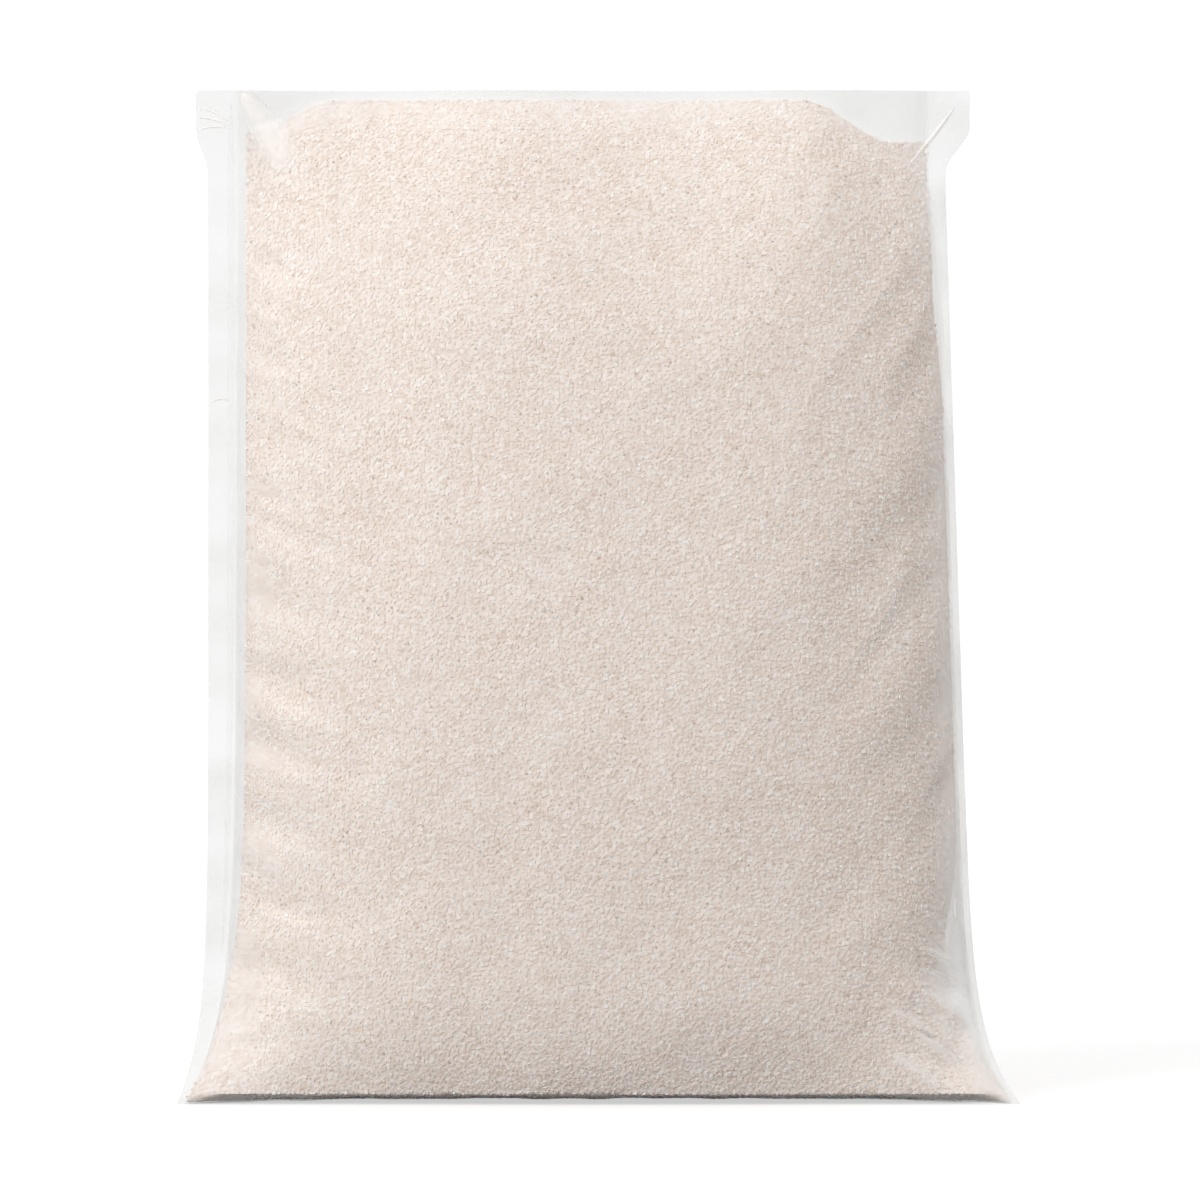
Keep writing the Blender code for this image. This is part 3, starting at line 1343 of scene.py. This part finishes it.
@dataclass(frozen=True)
class CrystalKind:
    """One kind of loose crystal: its shape, its share of them all and its finish."""

    name: str
    shape: CrystalShape
    share: float
    size: Triple
    finish: CrystalFinish

    def model(self) -> Piece:
        """Model one crystal about the origin, with its flat faces slanted as they grow.

        Returns:
            The crystal.
        """
        deselect_all()
        if self.shape is CrystalShape.BLOCK:
            bpy.ops.mesh.primitive_cube_add(size=1.0)
            top_scale, slide = (0.74, 0.80, 1.0), (0.10, -0.05, 0.0)
        else:
            bpy.ops.mesh.primitive_cylinder_add(vertices=3, radius=0.62, depth=1.0)
            top_scale, slide = (0.78, 0.78, 1.0), (-0.10, 0.06, 0.0)
        made = bpy.context.object
        made.name = made.data.name = f"one_{self.name}"
        for vertex in made.data.vertices:
            vertex.select = vertex.co.z > 0.0
        for edge in made.data.edges:
            edge.select = all(made.data.vertices[index].select for index in edge.vertices)
        for face in made.data.polygons:
            face.select = face.normal.z > 0.9
        bpy.ops.object.mode_set(mode="EDIT")
        bpy.ops.transform.resize(value=top_scale)
        bpy.ops.transform.translate(value=slide)
        bpy.ops.mesh.select_all(action="SELECT")
        bpy.ops.transform.resize(value=self.size, center_override=(0.0, 0.0, 0.0))
        bpy.ops.object.mode_set(mode="OBJECT")
        bpy.ops.object.shade_flat()
        return made


@dataclass
class LooseCrystals:
    """The outermost crystals, spread over the core and pressed against the film."""

    core: Piece
    kinds: tuple[CrystalKind, ...]
    spacing: float = 0.00074
    most_for_each_area: float = 4.0e6
    seed: int = Pattern.CRYSTALS
    tilt: float = 0.13
    smallest: float = 0.78
    largest: float = 1.18
    lift: float = -0.00012

    def scatter_tree(self, crystal: Piece, low: float, high: float) -> bpy.types.NodeTree:
        """Build the geometry nodes that lay one kind of crystal over the core.

        Args:
            crystal: the crystal to copy.
            low: where this kind's stretch of the 0 to 1 draw starts.
            high: where it ends.

        Returns:
            The node group.
        """
        tree = bpy.data.node_groups.new(f"scatter_{crystal.name}", "GeometryNodeTree")
        for way in ("INPUT", "OUTPUT"):
            tree.interface.new_socket("Geometry", in_out=way, socket_type="NodeSocketGeometry")
        bench = NodeBench(tree)

        def draw(step: int, lowest: float, highest: float) -> Socket:
            """Add a random number for each point, from the pattern that many steps on.

            Args:
                step: how many patterns on.
                lowest: the least it can be.
                highest: the most it can be.

            Returns:
                Its output.
            """
            node = bench.add("FunctionNodeRandomValue", {"data_type": "FLOAT"}, Seed=self.seed + step)
            node.inputs[2].default_value, node.inputs[3].default_value = lowest, highest
            return node.outputs[1]

        def compare(operation: str, value: Socket, limit: float) -> Socket:
            """Add a comparison with a number."""
            settings = {"data_type": "FLOAT", "operation": operation}
            return bench.chain("FunctionNodeCompare", settings, value, limit)

        points = bench.add(
            "GeometryNodeDistributePointsOnFaces",
            {"distribute_method": "POISSON"},
            Mesh=bench.add("NodeGroupInput").outputs[0],
            Distance_Min=self.spacing,
            Density_Max=self.most_for_each_area,
            Seed=self.seed,
        )
        ticket = draw(1, 0.0, 1.0)
        limits = compare("GREATER_EQUAL", ticket, low), compare("LESS_THAN", ticket, high)
        copies = bench.add(
            "GeometryNodeInstanceOnPoints",
            Points=points.outputs["Points"],
            Selection=bench.chain("FunctionNodeBooleanMath", {"operation": "AND"}, *limits),
            Instance=bench.add("GeometryNodeObjectInfo", Object=crystal).outputs["Geometry"],
            Rotation=points.outputs["Rotation"],
            Scale=draw(2, self.smallest, self.largest),
        )
        turns = [draw(3 + axis, -reach, reach) for axis, reach in enumerate((self.tilt, self.tilt, math.pi))]
        turned = bench.add(
            "GeometryNodeRotateInstances",
            Instances=copies.outputs[0],
            Rotation=bench.chain("ShaderNodeCombineXYZ", {}, *turns),
        )
        raised = bench.add(
            "GeometryNodeTranslateInstances",
            Instances=turned.outputs[0],
            Translation=(0.0, 0.0, self.lift),
        )
        store = bench.add(
            "GeometryNodeStoreNamedAttribute",
            {"data_type": "FLOAT", "domain": "INSTANCE"},
            Geometry=raised.outputs[0],
            Name="shade",
        )
        shade = next(socket for socket in store.inputs if socket.name == "Value" and socket.enabled)
        bench.feed(shade, draw(6, 0.0, 1.0))
        solid = bench.add("GeometryNodeRealizeInstances", Geometry=store.outputs[0])
        bench.add("NodeGroupOutput", Geometry=solid.outputs[0])
        return tree

    def build(self) -> None:
        """Lay every kind over the core, each as one piece."""
        low = 0.0
        for kind in self.kinds:
            crystal = kind.model()
            pick(self.core)
            bpy.ops.object.duplicate()
            piece = bpy.context.object
            piece.name = piece.data.name = kind.name
            scatter = piece.modifiers.new("scatter", "NODES")
            scatter.node_group = self.scatter_tree(crystal, low, low + kind.share)
            bpy.ops.object.modifier_apply(modifier="scatter")
            bpy.data.objects.remove(crystal)
            piece.data.polygons.foreach_set("material_index", np.zeros(len(piece.data.polygons), np.int32))
            hand_over(piece, kind.finish.material())
            low += kind.share


@dataclass(frozen=True)
class Lamp:
    """One square soft light.

    Args:
        name: its name.
        place: where it hangs.
        size: the length of its side.
        power: its power in watts.
        glossy: whether it shows in shiny surfaces.
    """

    name: str
    place: Triple
    size: float
    power: float
    glossy: bool = False

    def hang(self, aim: float) -> None:
        """Hang the light, turned to the bag's middle line.

        Args:
            aim: the height that it faces.
        """
        light = bpy.data.lights.new(self.name, "AREA")
        light.shape, light.size, light.energy = "SQUARE", self.size, self.power
        made = bpy.data.objects.new(self.name, light)
        bpy.context.scene.collection.objects.link(made)
        made.location = self.place
        towards = Vector((0.0, 0.0, aim)) - Vector(self.place)
        made.rotation_euler = towards.to_track_quat("-Z", "Y").to_euler()
        made.visible_glossy = self.glossy


@dataclass
class Studio:
    """A white room for the picture: floor, lights and camera."""

    middle_height: float
    lamps: tuple[Lamp, ...]
    distance: float = 1.6
    camera_side: float = 0.0003
    frame_width: float = 0.2650
    sensor: float = 36.0
    floor_size: float = 0.7
    floor_drop: float = 0.0002
    floor_bounce: float = 0.12
    floor_seen: float = 0.95
    floor_glow: float = 1.14
    low_sky: Triple = (0.43, 0.42, 0.415)
    high_sky: Triple = (0.50, 0.495, 0.49)
    high_sky_from: float = 0.9
    mirrored_sky: Triple = (0.76, 0.77, 0.77)
    backdrop: Triple = (1.0, 1.0, 1.0)
    backdrop_strength: float = 1.05

    def floor(self) -> None:
        """Lay the plain white floor."""
        deselect_all()
        bpy.ops.mesh.primitive_plane_add(size=self.floor_size, location=(0.0, 0.0, -self.floor_drop))
        made = bpy.context.object
        made.name = "floor"
        bench = SurfaceBench(bpy.data.materials.new("white_floor"))
        bounce, lit = (
            bench.add("ShaderNodeBsdfDiffuse", Color=(share,) * 3).outputs[0]
            for share in (self.floor_bounce, self.floor_seen)
        )
        glow = bench.add("ShaderNodeEmission", Strength=self.floor_glow).outputs[0]
        shader = bench.mix(bench.rays("Camera", "Glossy"), bounce, bench.mix(0.5, lit, glow))
        made.data.materials.append(bench.finish(shader))

    def sky(self) -> None:
        """Light the room from all round, brighter above, behind a white backdrop."""
        world = bpy.data.worlds.new("white_room")
        bpy.context.scene.world = world
        bench = SurfaceBench(world)
        way = bench.add("ShaderNodeTexCoord").outputs["Generated"]
        height = bench.add("ShaderNodeSeparateXYZ", Vector=way).outputs["Z"]
        colour = bench.ramp(height, [(0.0, self.low_sky), (self.high_sky_from, self.high_sky)])
        lit, mirrored, seen = (
            bench.add("ShaderNodeBackground", Color=shown, Strength=strength).outputs[0]
            for shown, strength in (
                (colour, 1.0),
                (self.mirrored_sky, 1.0),
                (self.backdrop, self.backdrop_strength),
            )
        )
        room = bench.mix(bench.rays("Glossy"), lit, mirrored)
        bench.finish(bench.mix(bench.rays("Camera"), room, seen))

    def camera(self) -> None:
        """Set the camera level with the middle of the bag, straight in front."""
        data = bpy.data.cameras.new("camera")
        data.sensor_width = self.sensor
        data.lens = self.sensor * self.distance / self.frame_width
        made = bpy.data.objects.new("camera", data)
        bpy.context.scene.collection.objects.link(made)
        made.location = (self.camera_side, -self.distance, self.middle_height)
        made.rotation_euler = (math.pi / 2.0, 0.0, 0.0)
        bpy.context.scene.camera = made

    def build(self) -> None:
        """Set up the whole studio."""
        self.floor()
        self.sky()
        for lamp in self.lamps:
            lamp.hang(self.middle_height)
        self.camera()
        bpy.context.scene.view_settings.view_transform = "Standard"


def folds_of_the_bag(height: float) -> tuple[Crease, ...]:
    """List the broad folds of the front panel.

    Args:
        height: the bag's height.

    Returns:
        The folds.
    """
    left, right, found = -0.0790, 0.0760, []
    # The pull lines that fan down from the left weld, and the longer ones from the right one.
    for step in range(6):
        z, reach = 0.112 - 0.0165 * step, 0.021 + 0.002 * (step % 3)
        found.append(Crease((left, z), (left + reach, z - 0.0070), width=0.0038, rise=-0.0015))
    for step in range(5):
        z, reach = 0.1640 - 0.0240 * step - 0.0050 * (step % 2), 0.0230 + 0.0050 * (step % 3)
        found.append(Crease((right, z), (right - reach, z - 1.1 * reach), width=0.0056, rise=-0.0010))
    # The short ones above the two ears, and one at each end of the top weld.
    for step in range(3):
        z = 0.0330 - 0.0085 * step
        found.append(Crease((0.0800, z - 0.0100), (0.0600, z), width=0.0034, rise=-0.0014))
        found.append(Crease((-0.0850, z - 0.0060), (-0.0660, z - 0.0010), width=0.0036, rise=-0.0013))
    found.append(Crease((-0.0795, height), (-0.0650, 0.2060), width=0.0034, rise=0.0016))
    found.append(Crease((0.0790, height), (0.0640, 0.2020), width=0.0036, rise=-0.0018))
    return tuple(found)


def pleats_of_the_bag(form: BagForm) -> tuple[Pleat, ...]:
    """List the flattened folds of spare film on the front.

    Args:
        form: the bag's form.

    Returns:
        The pleats.
    """
    top = form.height
    wide = ((-0.0784, 0.0004), (-0.0756, 0.0062), (-0.0700, 0.0100), (-0.0686, 0.0186))
    thin = ((0.0786, 0.0036), (0.0750, 0.0090), (0.0680, 0.0170))
    wide, thin = (tuple((x, top - below) for x, below in line) for line in (wide, thin))
    found = [
        # The wide pleat under the top left corner, whose white is partly milky layered film and partly a
        # painted reflection of the light, and the thin crease under the right one, whose white is a painted
        # highlight line.
        Pleat(wide, (0.0014, 0.0036, 0.0048, 0.0046), rise=0.00035, haze=0.95, crest=0.15, fade=0.78),
        Pleat(thin, (0.0003, 0.0008, 0.0004), rise=0.00035, haze=0.90),
        # A small milky pleat on the right edge whose white is a painted glint.
        Pleat(((0.0784, 0.0440), (0.0787, 0.0395)), (0.00035, 0.00035), rise=0.00030, haze=0.95),
    ]
    # The raised line just outside the inner border of the left weld.
    levels = [top - 0.002 - 0.021 * step for step in range(10)]
    line = tuple((float(form.inner_left(z)) - 0.0011, z) for z in levels)
    found.append(Pleat(line, (0.0008, 0.0009, 0.0005), rise=0.00006, haze=0.12))
    # The fine creases that cross the left weld: three close ones under its shoulder and one strong one lower
    # down, each drawn as a thin white line of painted highlight. Each is given by how far below the top it
    # starts, bends and ends.
    for start, bend, end, width in (
        (0.0040, 0.0040, 0.0069, 0.00035),
        (0.0060, 0.0058, 0.0078, 0.00045),
        (0.0086, 0.0078, 0.0083, 0.00030),
        (0.0690, 0.0672, 0.0686, 0.00050),
    ):
        left = float(form.left_edge(top - bend)) + 0.0006
        right = float(form.inner_left(top - bend)) - 0.0018
        points = ((left, top - start), ((left + right) / 2.0, top - bend), (right, top - end))
        found.append(Pleat(points, (0.5 * width, width, 0.5 * width), rise=0.00020, haze=0.95))
    # The crumpled folds above the right ear, their white partly milky film and partly painted highlight on
    # the ridges.
    draw = np.random.default_rng(Pattern.CRUMPLES)
    for step in range(6):
        x, z = float(draw.uniform(0.0640, 0.0730)), 0.0340 - 0.0046 * step
        reach, drop = float(draw.uniform(0.0070, 0.0120)), float(draw.uniform(0.45, 1.00))
        points = ((x, z), (x + 0.5 * reach, z - 0.20 * drop * reach), (x + reach, z - drop * reach))
        width = float(draw.uniform(0.0013, 0.0024))
        widths = (0.5 * width, width, 0.7 * width)
        found.append(Pleat(points, widths, rise=0.00022, haze=0.36, crest=0.30))
    return tuple(found)


def crystal_kinds() -> tuple[CrystalKind, ...]:
    """List the kinds of crystal, from the palest to the brown chips."""
    block, chip = CrystalShape.BLOCK, CrystalShape.CHIP
    pale = CrystalFinish("pale_crystal", (0.875, 0.75, 0.67), (0.94, 0.85, 0.79), 0.34)
    cream = CrystalFinish("cream_crystal", (0.845, 0.71, 0.62), (0.92, 0.80, 0.72), 0.38)
    honey = CrystalFinish("honey_crystal", (0.795, 0.65, 0.55), (0.885, 0.755, 0.665), 0.38)
    clear = CrystalFinish("clear_crystal", (0.92, 0.86, 0.80), (0.97, 0.93, 0.89), 0.22)
    brown = CrystalFinish("brown_chip", (0.55, 0.415, 0.315), (0.74, 0.60, 0.49), 0.36)
    return (
        CrystalKind("pale_blocks", block, 0.13, (0.00101, 0.00078, 0.00060), pale),
        CrystalKind("cream_blocks", block, 0.12, (0.00095, 0.00074, 0.00058), cream),
        CrystalKind("clear_blocks", block, 0.07, (0.00096, 0.00071, 0.00062), clear),
        CrystalKind("pale_chips", chip, 0.23, (0.00099, 0.00090, 0.00060), pale),
        CrystalKind("cream_chips", chip, 0.18, (0.00094, 0.00087, 0.00058), cream),
        CrystalKind("honey_chips", chip, 0.22, (0.00094, 0.00083, 0.00056), honey),
        CrystalKind("brown_chips", chip, 0.05, (0.00082, 0.00071, 0.00052), brown),
    )


def main() -> None:
    """Build the film, the sugar and the studio, in that order."""
    logging.basicConfig(level=logging.INFO, format="%(name)s: %(message)s")
    low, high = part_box(NODE)
    height = high.z - low.z
    form = BagForm(height=height, depth=FULL_DEPTH, folds=folds_of_the_bag(height))
    Film(form).build(FilmFinish())
    # The folds' film: its pale haze also paints the highlights of the creases and the glint.
    folded_film = FilmFinish(
        name="folded_film",
        tint=(0.997, 0.997, 0.997),
        straight_gloss=0.030,
        grazing_gloss=0.25,
        haze_colour=(0.965, 0.940, 0.920),
    )
    FilmFolds(form, pleats_of_the_bag(form)).build(folded_film)
    core = SugarCore(form).build(SugarFinish())
    LooseCrystals(core, crystal_kinds()).build()
    lamps = (
        Lamp("key_light", (-0.95, -1.30, 0.80), size=0.9, power=22.8),
        Lamp("top_light", (-0.1, 0.1, 1.6), size=1.2, power=3.0),
        Lamp("right_light", (1.45, 0.10, 0.50), size=0.8, power=6.5),
        Lamp("back_light", (0.75, 1.55, 0.80), size=1.0, power=12.0),
        Lamp("glint_light", (-1.5, -0.9, 0.9), size=0.5, power=0.8, glossy=True),
    )
    Studio(middle_height=0.1100, lamps=lamps).build()


if __name__ == "__main__":
    main()
